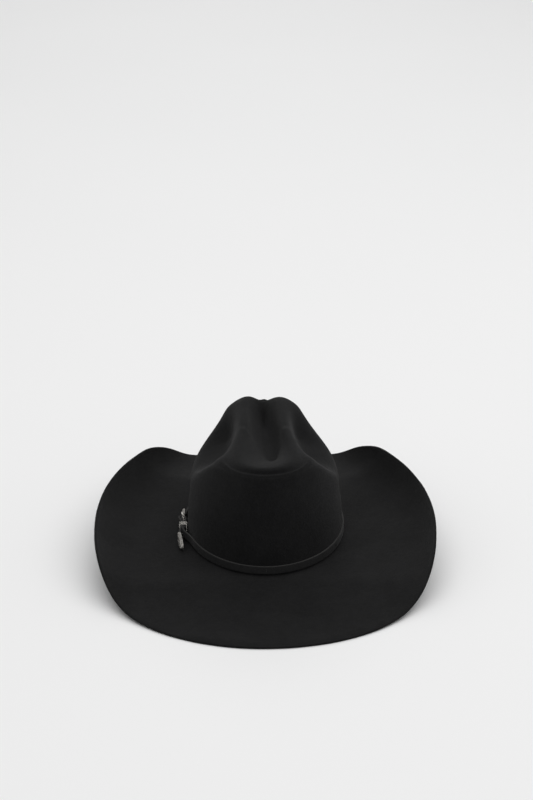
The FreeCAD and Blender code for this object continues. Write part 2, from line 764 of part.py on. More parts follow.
def edges_along(shape, axis, chosen):
    """Numbers of the straight edges along an axis whose middle passes a test."""
    numbers = []
    for k, edge in enumerate(shape.Edges, start=1):
        way = edge.tangentAt(edge.FirstParameter)
        if abs(abs(way.dot(axis)) - 1) < 1e-6 and chosen(edge.CenterOfMass):
            numbers.append(k)
    return numbers


def make_buckle_frame():
    """A flat frame, open at the rear, where the round heel bar closes it."""
    x = SIDE_X + BAR_OUT
    front = RAIL_Y - size("buckle_rail") / 2
    plate = part("Box", "buckle_plate", Length="sizes.buckle_thickness",
                 Width="sizes.buckle_reach + sizes.buckle_rail / 2 + sizes.bar_diameter / 2",
                 Height="sizes.buckle_height")
    plate.Placement.Base = Vector(x - size("buckle_thickness") / 2, front,
                                  BAND_MIDDLE - size("buckle_height") / 2)
    doc.recompute()
    rounded = part("Fillet", "buckle_rounded", Base=plate)
    corners = []
    for near_front, radius in ((True, size("buckle_corner")), (False, size("bar_diameter") / 3)):
        for number in edges_along(plate.Shape, Vector(1, 0, 0),
                                  lambda middle: (middle.y < front + 1) == near_front):
            corners.append((number, radius, radius))
    rounded.Edges = corners
    window = part("Box", "buckle_window", Length="2 * sizes.buckle_thickness",
                  Width="sizes.buckle_reach - sizes.buckle_rail / 2 + sizes.bar_diameter",
                  Height="sizes.band_height + 2 * sizes.metal_clearance")
    window.Placement.Base = Vector(x - size("buckle_thickness"), front + size("buckle_rail"),
                                   BAND_MIDDLE - size("band_height") / 2
                                   - size("metal_clearance"))
    bar = part("Cylinder", "heel_bar", Radius="sizes.bar_diameter / 2",
               Height="sizes.buckle_height - sizes.bar_diameter / 3")
    bar.Placement.Base = Vector(x, BAR_Y, BAND_MIDDLE - (size("buckle_height")
                                                         - size("bar_diameter") / 3) / 2)
    return part("Fuse", "buckle_frame", Base=cut("buckle_open", rounded, window), Tool=bar)


def make_prong():
    """A pin with an eye round the heel bar; it rests on the front rail."""
    centre = Vector(SIDE_X + BAR_OUT, BAR_Y, BAND_MIDDLE)
    along = Vector(math.sin(PRONG_SLOPE), -math.cos(PRONG_SLOPE), 0)
    length = (size("buckle_reach") + size("prong_overhang")) / math.cos(PRONG_SLOPE)
    pin = part("Cylinder", "prong_pin", Radius="sizes.prong_diameter / 2")
    pin.Height = length
    pin.Placement = FreeCAD.Placement(centre, FreeCAD.Rotation(Vector(0, 0, 1), along))
    end = part("Cone", "prong_end", Radius1="sizes.prong_diameter / 2",
               Radius2="sizes.prong_diameter / 4", Height="sizes.prong_diameter / 2")
    end.Placement = FreeCAD.Placement(centre + along * length, pin.Placement.Rotation)
    eye = part("Cylinder", "prong_eye", Height="sizes.eye_height",
               Radius="sizes.bar_diameter / 2 + sizes.pivot_clearance"
                      " + sizes.prong_diameter / 2")
    bore = part("Cylinder", "prong_bore", Height="2 * sizes.prong_diameter",
                Radius="sizes.bar_diameter / 2 + sizes.pivot_clearance")
    eye.Placement.Base = centre - Vector(0, 0, size("eye_height") / 2)
    bore.Placement.Base = centre - Vector(0, 0, size("prong_diameter"))
    return cut("buckle_prong", part("MultiFuse", "prong_blank", Shapes=[pin, end, eye]), bore)


def rectangle(body, name, plane, width, height):
    """A sketched rectangle about the body's origin, bound to the sheet."""
    sketch = body.newObject("Sketcher::SketchObject", name)
    planes = [item for item in body.Origin.OriginFeatures if item.Role == plane]
    sketch.AttachmentSupport = [(planes[0], "")]
    sketch.MapMode = "FlatFace"
    corners = [Vector(-5, -5, 0), Vector(5, -5, 0), Vector(5, 5, 0), Vector(-5, 5, 0)]
    for k in range(4):
        sketch.addGeometry(Part.LineSegment(corners[k], corners[(k + 1) % 4]), False)
    for k in range(4):
        sketch.addConstraint(Sketcher.Constraint("Coincident", k, 2, (k + 1) % 4, 1))
    for k, way in enumerate(("Horizontal", "Vertical", "Horizontal", "Vertical")):
        sketch.addConstraint(Sketcher.Constraint(way, k))
    sketch.addConstraint(Sketcher.Constraint("Symmetric", 0, 1, 2, 1, -1, 1))
    wide = sketch.addConstraint(Sketcher.Constraint("DistanceX", 0, 1, 0, 2, 10))
    high = sketch.addConstraint(Sketcher.Constraint("DistanceY", 1, 1, 1, 2, 10))
    sketch.renameConstraint(wide, "wide")
    sketch.renameConstraint(high, "high")
    sketch.setExpression("Constraints.wide", width)
    sketch.setExpression("Constraints.high", height)
    return sketch


def make_keeper():
    """A loose loop that holds the billet flat against the band."""
    body = doc.addObject("PartDesign::Body", "keeper")
    body.Label = "keeper"
    body.Placement.Base = Vector(SIDE_X + STRAP_OUT, size("keeper_position"), BAND_MIDDLE)
    inner_width = ("3 * sizes.band_thickness + 2 * sizes.layer_gap"
                   " + 2 * sizes.metal_clearance")
    inner_height = "sizes.band_height + 2 * sizes.metal_clearance"
    block = body.newObject("PartDesign::Pad", "keeper_block")
    block.Profile = rectangle(body, "keeper_outline", "XZ_Plane",
                              inner_width + " + 2 * sizes.keeper_wall",
                              inner_height + " + 2 * sizes.keeper_wall")
    block.SideType = "Symmetric"
    block.setExpression("Length", "sizes.keeper_length")
    doc.recompute()
    rounded = body.newObject("PartDesign::Fillet", "keeper_rounded")
    numbers = edges_along(block.Shape, Vector(0, 1, 0), lambda middle: True)
    rounded.Base = (block, ["Edge%d" % number for number in numbers])
    rounded.setExpression("Radius", "sizes.keeper_wall")
    doc.recompute()
    hole = body.newObject("PartDesign::Pocket", "keeper_hole")
    hole.Profile = rectangle(body, "keeper_window", "XZ_Plane", inner_width, inner_height)
    hole.SideType = "Symmetric"
    hole.setExpression("Length", "2 * sizes.keeper_length")
    return body


def tip_place(across, along, up):
    """A Placement in the tip's own frame: across the band, along it, and up."""
    turn = FreeCAD.Rotation(Vector(0, 0, 1), size("tip_turn"))
    start = Vector(SIDE_X + size("tip_stand_off"), size("tip_position"), BAND_MIDDLE)
    return FreeCAD.Placement(start + turn.multVec(Vector(across, along, up)), turn)


def make_tip():
    """A pointed metal cap, pressed over the billet's end and pinned with a rivet."""
    wide = size("band_thickness") + 2 * size("tip_wall")
    high = size("band_height") + 2 * size("tip_wall")
    block = part("Box", "tip_block", Width="sizes.tip_length",
                 Length="sizes.band_thickness + 2 * sizes.tip_wall",
                 Height="sizes.band_height + 2 * sizes.tip_wall")
    block.Placement = tip_place(-wide / 2, 0, -high / 2)
    doc.recompute()
    far = tip_place(0, size("tip_length"), 0).Base
    across = block.Placement.Rotation.multVec(Vector(1, 0, 0))
    pointed = part("Chamfer", "tip_pointed", Base=block)
    pointed.Edges = [(number, size("tip_point") * 0.8, size("tip_point") * 0.8)
                     for number in edges_along(block.Shape, across,
                                               lambda middle: (middle - far).Length < high)]
    seat = part("Box", "tip_seat", Length="sizes.band_thickness", Height="sizes.band_height")
    seat.Width = TIP_SEAT + size("tip_wall")
    seat.Placement = tip_place(-size("band_thickness") / 2, -size("tip_wall"),
                               -size("band_height") / 2)
    return cut("strap_tip_blank", pointed, seat)


def rivet_hole(label):
    hole = part("Cylinder", label, Radius="sizes.rivet_diameter / 2",
                Height="4 * sizes.band_thickness")
    place = tip_place(-2 * size("band_thickness"), size("tip_length") / 4, 0)
    hole.Placement = FreeCAD.Placement(place.Base, place.Rotation.multiply(
        FreeCAD.Rotation(Vector(0, 1, 0), 90)))
    return hole


def make_rivet():
    """A round-headed pin through tip and billet."""
    place = tip_place(-(size("band_thickness") / 2 + size("tip_wall")), size("tip_length") / 4, 0)
    turn = place.Rotation.multiply(FreeCAD.Rotation(Vector(0, 1, 0), 90))
    shank = part("Cylinder", "rivet_shank", Radius="sizes.rivet_diameter / 2",
                 Height="sizes.band_thickness + 2 * sizes.tip_wall")
    shank.Placement = FreeCAD.Placement(place.Base, turn)
    face = tip_place(size("band_thickness") / 2 + size("tip_wall"), size("tip_length") / 4, 0)
    head = part("Cone", "rivet_head", Radius1="0.8 * sizes.rivet_diameter",
                Radius2="0.4 * sizes.rivet_diameter", Height="0.4 * sizes.rivet_diameter")
    head.Placement = FreeCAD.Placement(face.Base, turn)
    return part("Fuse", "strap_tip_rivet", Base=shank, Tool=head)


def make_tacks():
    """Short upright stitches that hold the band to the crown."""
    tacks = []
    first = 90
    for k in range(int(size("tack_count"))):
        angle = math.radians(first + 180 * k / size("tack_count"))
        out = size("piece_gap") + size("band_thickness") + size("thread_diameter") / 2
        x, y = size("head_half_width"), size("head_half_length")
        normal = Vector(y * math.cos(angle), x * math.sin(angle), 0)
        normal.normalize()
        low = Vector(x * math.cos(angle), y * math.sin(angle), BAND_MIDDLE) + normal * out
        half = Vector(0, 0, size("stitch_length") / 2)
        tacks.append(thread(low - half, low + half))
    return group("hatband_tacks", tacks)


felt_body = make_felt_body()
hatband = make_hatband()
tip = make_tip()
pieces = {
    "felt_body": felt_body,
    "hatband": cut("hatband_whole", hatband, rivet_hole("band_rivet_hole")),
    "hatband_tacks": make_tacks(),
    "buckle_frame": make_buckle_frame(),
    "buckle_prong": make_prong(),
    "keeper": make_keeper(),
    "strap_tip": cut("strap_tip_whole", tip, rivet_hole("tip_rivet_hole")),
    "strap_tip_rivet": make_rivet(),
    "sweatband": make_sweatband(),
    "sweatband_reed": make_reed(),
    "reed_tape": make_reed_tape(),
    "sweatband_stitches": make_sweatband_stitches(),
    "seam_stitches": make_seam_stitches(),
    "sweatband_bow": make_bow(),
}
for piece in make_lining():
    pieces[piece.Label] = piece
doc.recompute()
for item in doc.Objects:
    if "Invalid" in item.State or "Error" in item.State:
        raise RuntimeError("%s is %s" % (item.Label, item.State))
os.makedirs("parts", exist_ok=True)
for name, piece in pieces.items():
    if piece.Shape.isNull() or not piece.Shape.isValid() or not piece.Shape.Solids:
        raise RuntimeError("%s has no sound solid" % name)
    piece.Shape.exportStep("parts/%s.step" % name)
    print(name, len(piece.Shape.Solids), round(piece.Shape.Volume, 1), piece.Shape.BoundBox)
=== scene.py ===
# %% [markdown]
# # A black western hat
# The hat is one piece of stiff wool felt, pressed into a crown with a middle crease and two side
# dents, with the brim rolled up at the sides. Round the crown runs a narrow band with a
# three-piece buckle set, and inside are a leather sweatband and a satin lining. The frame from
# the CAD gives every place and size, so each piece here starts from a node or from its box.

# %% Load the frame
import math

import bmesh
import bpy
from mathutils import Matrix, Vector, noise


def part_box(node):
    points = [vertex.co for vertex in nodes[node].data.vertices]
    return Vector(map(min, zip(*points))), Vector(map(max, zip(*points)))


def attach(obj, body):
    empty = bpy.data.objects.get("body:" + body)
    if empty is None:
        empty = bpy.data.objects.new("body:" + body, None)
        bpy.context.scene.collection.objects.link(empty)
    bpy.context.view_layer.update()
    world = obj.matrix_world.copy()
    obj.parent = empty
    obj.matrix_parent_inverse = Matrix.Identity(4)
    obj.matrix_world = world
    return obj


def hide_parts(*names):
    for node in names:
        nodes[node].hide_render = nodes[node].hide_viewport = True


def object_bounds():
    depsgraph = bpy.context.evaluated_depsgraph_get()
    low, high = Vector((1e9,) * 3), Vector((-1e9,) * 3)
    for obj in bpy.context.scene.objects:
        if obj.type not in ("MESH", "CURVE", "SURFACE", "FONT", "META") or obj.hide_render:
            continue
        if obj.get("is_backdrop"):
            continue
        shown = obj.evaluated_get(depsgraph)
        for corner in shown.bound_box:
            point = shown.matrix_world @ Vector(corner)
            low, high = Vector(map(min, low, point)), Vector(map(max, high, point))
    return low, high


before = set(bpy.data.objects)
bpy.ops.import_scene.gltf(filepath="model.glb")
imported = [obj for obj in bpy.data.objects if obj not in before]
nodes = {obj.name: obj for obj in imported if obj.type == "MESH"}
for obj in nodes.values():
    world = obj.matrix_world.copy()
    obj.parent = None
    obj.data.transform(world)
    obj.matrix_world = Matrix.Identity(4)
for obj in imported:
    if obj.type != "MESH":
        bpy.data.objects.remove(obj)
cad_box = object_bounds()
MM = 0.001

# %% [markdown]
# ## Camera, floor and light
# The hat is seen from behind and a little above, from about two metres away, which keeps the
# near brim from looking too large. The floor and the room are pale, and one broad soft lamp
# hangs high on the right, so the shadow falls softly to the lower left. A weaker one lights the
# floor far behind. The Standard view keeps the black felt black: the softer default would lift
# it to grey.

# %% Camera
scene = bpy.context.scene
scene.view_settings.view_transform = "Standard"
camera = bpy.data.objects.new("camera", bpy.data.cameras.new("camera"))
camera.data.lens = 84.96
camera.data.sensor_width = 36
camera.location = (0.0235, 1.7321, 0.8885)
looking = Vector((-0.013469, -0.92085, -0.38967))
camera.rotation_euler = looking.to_track_quat("-Z", "Y").to_euler()
scene.collection.objects.link(camera)
scene.camera = camera
print("camera distance to the hat, m:", round(camera.location.length, 3))


# %% Helpers for pieces
def finished(name, shape, material=None, body="hat", smooth=True, stands_for=()):
    """Turn a bmesh into a piece that rides on a body."""
    mesh = bpy.data.meshes.new(name)
    shape.to_mesh(mesh)
    shape.free()
    for face in mesh.polygons:
        face.use_smooth = smooth
    piece = bpy.data.objects.new(name, mesh)
    scene.collection.objects.link(piece)
    if material:
        mesh.materials.append(material)
    if body:
        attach(piece, body)
    if stands_for:
        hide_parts(*stands_for)
    print(name, len(mesh.polygons), "faces")
    return piece


# %% Floor
room = bmesh.new()
bmesh.ops.create_grid(room, x_segments=1, y_segments=1, size=6)
floor = finished("floor", room, body=None)
floor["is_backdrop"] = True


# %% Lamps
def lamp(name, place, aim, width, power):
    light = bpy.data.lights.new(name, "AREA")
    light.shape = "DISK"
    light.size = width
    light.energy = power
    source = bpy.data.objects.new(name, light)
    source.location = place
    source.rotation_euler = (Vector(aim) - Vector(place)).to_track_quat("-Z", "Y").to_euler()
    scene.collection.objects.link(source)
    return source


lamp("key", (-0.35, 0.1, 2.4), (0, 0, 0.1), 4.6, 52)
lamp("backdrop", (0, -3.4, 2.2), (0, -2.4, 0), 2.0, 16)
world = bpy.data.worlds.new("room")
world.use_nodes = True
world.node_tree.nodes["Background"].inputs["Color"].default_value = (1, 1, 1, 1)
world.node_tree.nodes["Background"].inputs["Strength"].default_value = 0.47
scene.world = world


# %% [markdown]
# ## Shader arithmetic
# A material here is built by a Finish. Its node method adds any node, and what comes back is a
# wrapped socket, so a formula such as 1 - mask * 0.3 writes its own Math nodes. Whatever is the
# same all over a surface is set on the shader itself.

# %% Sockets that can be added and multiplied
class Wire:
    """A node's output, with arithmetic on values."""

    def __init__(self, finish, socket):
        self.finish, self.socket = finish, socket

    def math(self, operation, *values, **settings):
        node = self.finish.tree.nodes.new("ShaderNodeMath")
        node.operation = operation
        for name, value in settings.items():
            setattr(node, name, value)
        for slot, value in zip(node.inputs, values):
            self.finish.put(slot, value)
        return Wire(self.finish, node.outputs[0])

    def __add__(self, other):
        return self.math("ADD", self, other)

    __radd__ = __add__

    def __mul__(self, other):
        return self.math("MULTIPLY", self, other)

    __rmul__ = __mul__

    def __sub__(self, other):
        return self.math("SUBTRACT", self, other)

    def __rsub__(self, other):
        return self.math("SUBTRACT", other, self)

    def __truediv__(self, other):
        return self.math("DIVIDE", self, other)

    def size(self):
        """The value without its sign."""
        return self.math("ABSOLUTE", self)

    def clamped(self):
        return self.math("ADD", self, 0.0, use_clamp=True)


class Finish:
    """A material whose nodes are written as expressions."""

    def __init__(self, name, **shader):
        self.material = bpy.data.materials.new(name)
        self.material.use_nodes = True
        self.tree = self.material.node_tree
        self.shader = self.tree.nodes["Principled BSDF"]
        for key, value in shader.items():
            self.put(self.shader.inputs[key.replace("_", " ")], value)
        self.place = self.node("TexCoord", output="Object")

    def put(self, slot, value):
        if isinstance(value, Wire):
            self.tree.links.new(value.socket, slot)
        elif isinstance(value, tuple) and len(value) == 3 and slot.type == "RGBA":
            slot.default_value = (*value, 1)
        else:
            slot.default_value = value

    def node(self, kind, settings=None, output=0, **inputs):
        node = self.tree.nodes.new("ShaderNode" + kind)
        for name, value in (settings or {}).items():
            if name == "stops":
                ramp = node.color_ramp.elements
                while len(ramp) < len(value):
                    ramp.new(1)
                for stop, (at, shade) in zip(ramp, value):
                    stop.position = at
                    stop.color = (shade, shade, shade, 1) if isinstance(shade, float) else (*shade, 1)
            else:
                setattr(node, name, value)
        for name, value in inputs.items():
            slot = node.inputs[int(name[1:])] if name[0] == "i" and name[1:].isdigit() else (
                node.inputs[name.replace("_", " ")])
            self.put(slot, value)
        return Wire(self, node.outputs[output])

    def noise(self, per_metre, detail=2.0, roughness=0.5, vector=None):
        return self.node("TexNoise", Vector=vector or self.place, Scale=per_metre,
                         Detail=detail, Roughness=roughness)

    def stretched(self, x, y, z, turn=(0, 0, 0)):
        """Object coordinates scaled differently along each axis, in metres."""
        return self.node("Mapping", Vector=self.place, Scale=(x, y, z), Rotation=turn)

    def blend(self, share, first, second, mode="MIX"):
        return self.node("Mix", {"data_type": "RGBA", "blend_type": mode}, output=2,
                         i0=share, i6=first, i7=second)

    def ramp(self, value, *stops):
        return self.node("ValToRGB", {"stops": stops}, Fac=value)

    def bump(self, height, depth, strength=1.0, normal=None):
        inputs = {"Height": height, "Distance": depth, "Strength": strength}
        if normal:
            inputs["Normal"] = normal
        return self.node("Bump", **inputs)

    def surface(self, **values):
        for key, value in values.items():
            self.put(self.shader.inputs[key.replace("_", " ")], value)
        return self.material


pale = Finish("pale_floor", Roughness=0.9)
tone = pale.noise(1.5, 2.0)
floor.data.materials.append(pale.surface(
    Base_Color=pale.blend(tone, (0.87, 0.87, 0.87), (0.89, 0.89, 0.89))))

# %% [markdown]
# ## The felt
# Crown and brim are a single felt body, blocked with steam and sanded short. The CAD mesh has
# its shape already, so a copy is merged, its cut rim is rounded as a knife-cut felt edge wears,
# and the surface is pushed in and out by a fraction of a millimetre, because hand-blocked felt
# is never perfectly even. Only the brim's edge is rounded: the crown has sharp folds too, and a
# bevel there would throw points far off the surface.

# %% Felt material
felt = Finish("black_wool_felt", Sheen_Weight=0.05, Sheen_Roughness=0.5,
              Specular_IOR_Level=0.12)
cloud = felt.noise(28, 3.0, 0.55)
mottle = felt.noise(160, 3.0, 0.6)
nap = felt.noise(850, 4.0, 0.7)
fibre = felt.noise(1, 3.0, 0.6, felt.stretched(900, 350, 350, (0.3, 0.2, 0.6)))
shade = (cloud * 0.35 + mottle * 0.25 + nap * 0.25 + fibre * 0.3 - 0.1).clamped()
felt_colour = felt.ramp(shade, (0.25, (0.0022, 0.0022, 0.0024)), (0.75, (0.0122, 0.0122, 0.0125)))
felt_black = felt.surface(
    Base_Color=felt_colour,
    Roughness=0.86 + nap * 0.12,
    Normal=felt.bump(nap * 0.8 + fibre * 0.6, 0.0005, 0.9,
                     felt.bump(mottle + cloud * 0.5, 0.0006, 0.35)))


# %% Felt body
def merged_copy(node):
    shape = bmesh.new()
    shape.from_mesh(nodes[node].data)
    bmesh.ops.remove_doubles(shape, verts=shape.verts, dist=2e-6)
    return shape


def sharp_edges(shape, degrees):
    limit = math.radians(degrees)
    return [edge for edge in shape.edges
            if len(edge.link_faces) == 2 and edge.calc_face_angle() > limit]


shape = merged_copy("felt_body")
past_crown_x, past_crown_y = 0.1, 0.14
rim = [edge for edge in sharp_edges(shape, 50)
       if all((vert.co.x / past_crown_x) ** 2 + (vert.co.y / past_crown_y) ** 2 > 1
              for vert in edge.verts)]
print("rim edges", len(rim))
bmesh.ops.bevel(shape, geom=rim, offset=0.0006, affect="EDGES", segments=2, profile=0.5,
                material=-1)
for vert in shape.verts:
    at = vert.co
    push = noise.noise(at * 14) * 0.5 + noise.noise(at * 38 + Vector((3, 1, 7))) * 0.22
    vert.co = at + vert.normal * push * MM
finished("felt", shape, felt_black, "hat", stands_for=["felt_body"])

# %% [markdown]
# ## The hatband
# The band is a narrow strip of the same felt, cut and doubled at the buckle. The CAD strip has
# its folds and holes, so the copy only has its long edges rounded. Both long edges are painted
# a little paler than its face: a painted highlight for the light caught along the band's edge.
# The painted share comes from the height across the strip.

# %% Hatband
band_low, band_high = (corner.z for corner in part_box("hatband"))
band = Finish("band_felt", Sheen_Weight=0.06, Sheen_Roughness=0.4, Specular_IOR_Level=0.2)
up = band.node("SeparateXYZ", Vector=band.place, output=2)
from_middle = ((up - (band_low + band_high) / 2) / ((band_high - band_low) / 2)).size()
# edge is a painted highlight: a strip of paler colour along both long edges of the band
edge = ((from_middle - 0.92) * 12.0).clamped()
grain = band.noise(1700, 4.0, 0.7)
weft = band.noise(1, 2.0, 0.5, band.stretched(500, 500, 1800))
tone = (grain * 0.6 + weft * 0.4).clamped()
band_face = band.ramp(tone, (0.3, (0.006, 0.006, 0.0062)), (0.75, (0.022, 0.022, 0.0225)))
# the pale colour mixed in along the edges is the painted highlight
band_black = band.surface(
    Base_Color=band.blend(edge * (0.6 + grain * 0.4), band_face, (0.04, 0.039, 0.038)),
    Roughness=0.75 + grain * 0.15,
    Normal=band.bump(grain * 0.6 + weft * 0.5, 0.0003, 0.7))
shape = merged_copy("hatband")
long_edges = [item for item in sharp_edges(shape, 60)
              if abs(item.verts[0].co.z - item.verts[1].co.z) < 1e-6
              and min(abs(item.verts[0].co.z - level) for level in (band_low, band_high)) < 1e-5]
bmesh.ops.bevel(shape, geom=long_edges, offset=0.00035, affect="EDGES", segments=2,
                profile=0.5, material=-1)
finished("band", shape, band_black, "hat", stands_for=["hatband"])

# %% [markdown]
# ## Antique silver
# The buckle set is nickel silver that has been dipped black and buffed: the hollows stay dark
# and the high edges shine. On the real pieces the pattern is cast. Here the rims and beads are
# modelled, and a small leaf-like scroll is only a bump, with the dark share taken from the same
# scroll so that they agree.

# %% Silver
def silver_finish(name, flourish):
    silver = Finish(name, Metallic=1.0, Specular_IOR_Level=0.5)
    swirl = silver.node("TexWave", {"wave_type": "RINGS", "rings_direction": "SPHERICAL"},
                        output=1, Vector=silver.place, Scale=170.0, Distortion=9.0,
                        Detail=2.0, Detail_Scale=160.0)
    cut_in = (1.0 - swirl * 2.2).clamped() * flourish
    smut = silver.noise(420, 3.0, 0.6)
    scratch = silver.noise(1, 2.0, 0.6, silver.stretched(300, 300, 6000, (0.4, 0.3, 0)))
    dark = (cut_in * 0.9 + (smut * 1.6 - 0.75).clamped() * 0.45).clamped()
    return silver.surface(
        Base_Color=silver.blend(dark, (0.86, 0.83, 0.78), (0.05, 0.045, 0.04)),
        Roughness=0.16 + dark * 0.4 + scratch * 0.12,
        Normal=silver.bump(swirl * flourish + scratch * 0.08, 0.0003, 0.8))


chased = silver_finish("chased_silver", 1.0)
plain_silver = silver_finish("plain_silver", 0.0)


# %% Metal pieces
def rounded(name, offset, segments=2):
    """A node's own shape with its sharp edges rounded."""
    copy = merged_copy(name)
    bmesh.ops.dissolve_limit(copy, angle_limit=math.radians(1), verts=copy.verts,
                             edges=copy.edges)
    bmesh.ops.bevel(copy, geom=sharp_edges(copy, 40), offset=offset, affect="EDGES",
                    segments=segments, profile=0.5, material=-1, clamp_overlap=True)
    return copy


def beads(into, points, radius):
    """A row of small half-sunk balls, as on a cast rope edge."""
    for point in points:
        bmesh.ops.create_icosphere(into, subdivisions=1, radius=radius,
                                   matrix=Matrix.Translation(point))


def line_of(start, end, spacing):
    start, end = Vector(start), Vector(end)
    count = max(2, round((end - start).length / spacing))
    return [start.lerp(end, k / (count - 1)) for k in range(count)]


shape = rounded("buckle_frame", 0.00035)
low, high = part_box("buckle_frame")
face_x, bead = high.x - 0.0001, 0.00042
rim = 0.0008
outline = (line_of((face_x, low.y + 0.003, low.z + rim), (face_x, high.y - 0.003, low.z + rim), 0.0011)
           + line_of((face_x, low.y + 0.003, high.z - rim), (face_x, high.y - 0.003, high.z - rim), 0.0011)
           + line_of((face_x, low.y + rim, low.z + 0.003), (face_x, low.y + rim, high.z - 0.003), 0.0011))
beads(shape, outline, bead)
finished("buckle", shape, chased, "buckle", stands_for=["buckle_frame"])

shape = rounded("keeper", 0.00025)
low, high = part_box("keeper")
hoops = []
for y in (low.y + 0.0008, high.y - 0.0008):
    hoops += line_of((high.x - 0.0001, y, low.z + 0.0012), (high.x - 0.0001, y, high.z - 0.0012), 0.001)
    hoops += line_of((low.x + 0.003, y, high.z - 0.0001), (high.x - 0.0012, y, high.z - 0.0001), 0.001)
beads(shape, hoops, 0.0004)
finished("keeper_loop", shape, chased, "keeper", stands_for=["keeper"])

shape = rounded("strap_tip", 0.0003)
low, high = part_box("strap_tip")
lean = math.radians(8)
along = Vector((-math.sin(lean), math.cos(lean), 0))
start = Vector((high.x - 0.0001, low.y + 0.0012, 0))
for level in (low.z + 0.0009, high.z - 0.0009):
    first = Vector((start.x, start.y, level))
    beads(shape, line_of(first, first + along * 0.0175, 0.0011), 0.0004)
beads(shape, line_of((start.x, start.y, low.z + 0.0018), (start.x, start.y, high.z - 0.0018), 0.0011),
      0.0004)
finished("tip", shape, chased, "hat", stands_for=["strap_tip"])
for name in ("buckle_prong", "strap_tip_rivet"):
    nodes[name].data.materials.clear()
    nodes[name].data.materials.append(plain_silver)

# %% [markdown]
# ## Leather, reed and stitches
# The sweatband is a strip of thin sheepskin with a reed cord under its lower edge, sewn to a
# cloth tape. The CAD solids carry the sizes; the leather's copy gets rounded edges, two pressed
# lines and a fine pebble grain.

# %% Leather
leather = Finish("sweatband_leather", Specular_IOR_Level=0.5, Coat_Weight=0.12,
                 Coat_Roughness=0.35)
pebble = leather.node("TexVoronoi", {"feature": "F1"}, Vector=leather.place, Scale=900.0)
crease = leather.noise(1, 3.0, 0.6, leather.stretched(90, 90, 30))
tint = leather.noise(35, 3.0, 0.55)
rise = leather.node("SeparateXYZ", Vector=leather.place, output=2)
leather_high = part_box("sweatband")[1].z
pressed = 0.0
for level in (leather_high - 0.004, leather_high - 0.0055):
    pressed = (1.0 - (rise - level).size() * 2600.0).clamped() + pressed
leather_black = leather.surface(
    Base_Color=leather.ramp((tint * 0.7 + crease * 0.3).clamped(),
                            (0.3, (0.012, 0.010, 0.009)), (0.75, (0.036, 0.031, 0.028))),
    Roughness=0.42 + crease * 0.2 + pebble * 0.1,
    Normal=leather.bump(pebble * -0.5 - pressed * 0.8, 0.0004, 0.55,
                        leather.bump(crease, 0.0008, 0.3)))
shape = merged_copy("sweatband")
bmesh.ops.bevel(shape, geom=sharp_edges(shape, 60), offset=0.0003, affect="EDGES", segments=2,
                profile=0.5, material=-1)
finished("leather", shape, leather_black, "hat", stands_for=["sweatband"])

# %% Cord, tape and thread
reed = Finish("reed_plastic", Specular_IOR_Level=0.5)
dust = reed.noise(700, 2.0)
reed_black = reed.surface(Base_Color=reed.ramp(dust, (0.3, (0.02, 0.02, 0.02)),
                                               (0.8, (0.045, 0.045, 0.045))),
                          Roughness=0.3 + dust * 0.2, Normal=reed.bump(dust, 0.0001, 0.4))
tape = Finish("tape_cloth", Sheen_Weight=0.3)
warp = tape.node("TexWave", {"bands_direction": "Z"}, output=1, Vector=tape.place, Scale=450.0)
fuzz = tape.noise(1400, 3.0)
tape_black = tape.surface(Base_Color=tape.ramp((warp * 0.6 + fuzz * 0.4).clamped(),
                                               (0.2, (0.012, 0.012, 0.013)),
                                               (0.9, (0.05, 0.05, 0.052))),
                          Roughness=0.8 + fuzz * 0.1, Normal=tape.bump(warp, 0.0002, 0.6))
twist = Finish("waxed_thread", Sheen_Weight=0.15)
strand = twist.node("TexWave", {"bands_direction": "DIAGONAL"}, output=1, Vector=twist.place,
                    Scale=900.0, Distortion=1.0)
thread_grey = twist.surface(Base_Color=twist.ramp(strand, (0.2, (0.03, 0.03, 0.03)),
                                                  (0.9, (0.13, 0.125, 0.12))),
                            Roughness=0.55 + strand * 0.1, Normal=twist.bump(strand, 0.0001, 0.7))
tack = Finish("black_thread", Sheen_Weight=0.1)
ply = tack.noise(1500, 3.0)
tack_black = tack.surface(Base_Color=tack.ramp(ply, (0.3, (0.004, 0.004, 0.004)),
                                               (0.8, (0.012, 0.012, 0.012))),
                          Roughness=0.7 + ply * 0.15, Normal=tack.bump(ply, 0.0001, 0.5))
for name, material in (("sweatband_reed", reed_black), ("reed_tape", tape_black),
                       ("sweatband_stitches", thread_grey), ("seam_stitches", thread_grey),
                       ("hatband_tacks", tack_black)):
    nodes[name].data.materials.clear()
    nodes[name].data.materials.append(material)

# %% [markdown]
# ## Ribbon bow
# The bow at the back of the sweatband is a narrow satin ribbon: two flat loops and a knot that
# pinches them. Each loop starts as a grid, is bent into a flattened hoop that widens away from
# the knot, and gets its thickness from solidify.

# %% Satin
def satin_finish(name, dark, light, rough):
    satin = Finish(name, Sheen_Weight=0.2, Specular_IOR_Level=0.6, Coat_Weight=0.15,
                   Coat_Roughness=0.3)
    thread = satin.node("TexWave", {"bands_direction": "X"}, output=1, Vector=satin.place,
                        Scale=2200.0, Distortion=0.6)
    slub = satin.noise(1, 2.0, 0.5, satin.stretched(1200, 1200, 90))
    cloudy = satin.noise(30, 2.0)
    return satin.surface(
        Base_Color=satin.ramp((cloudy * 0.5 + slub * 0.5).clamped(), (0.3, dark), (0.75, light)),
        Roughness=rough + slub * 0.15,
        Normal=satin.bump(thread * 0.5 + slub, 0.00012, 0.5))


lining_satin = satin_finish("lining_satin", (0.10, 0.085, 0.066), (0.17, 0.148, 0.118), 0.32)
bow_satin = satin_finish("bow_satin", (0.012, 0.012, 0.013), (0.04, 0.04, 0.042), 0.35)


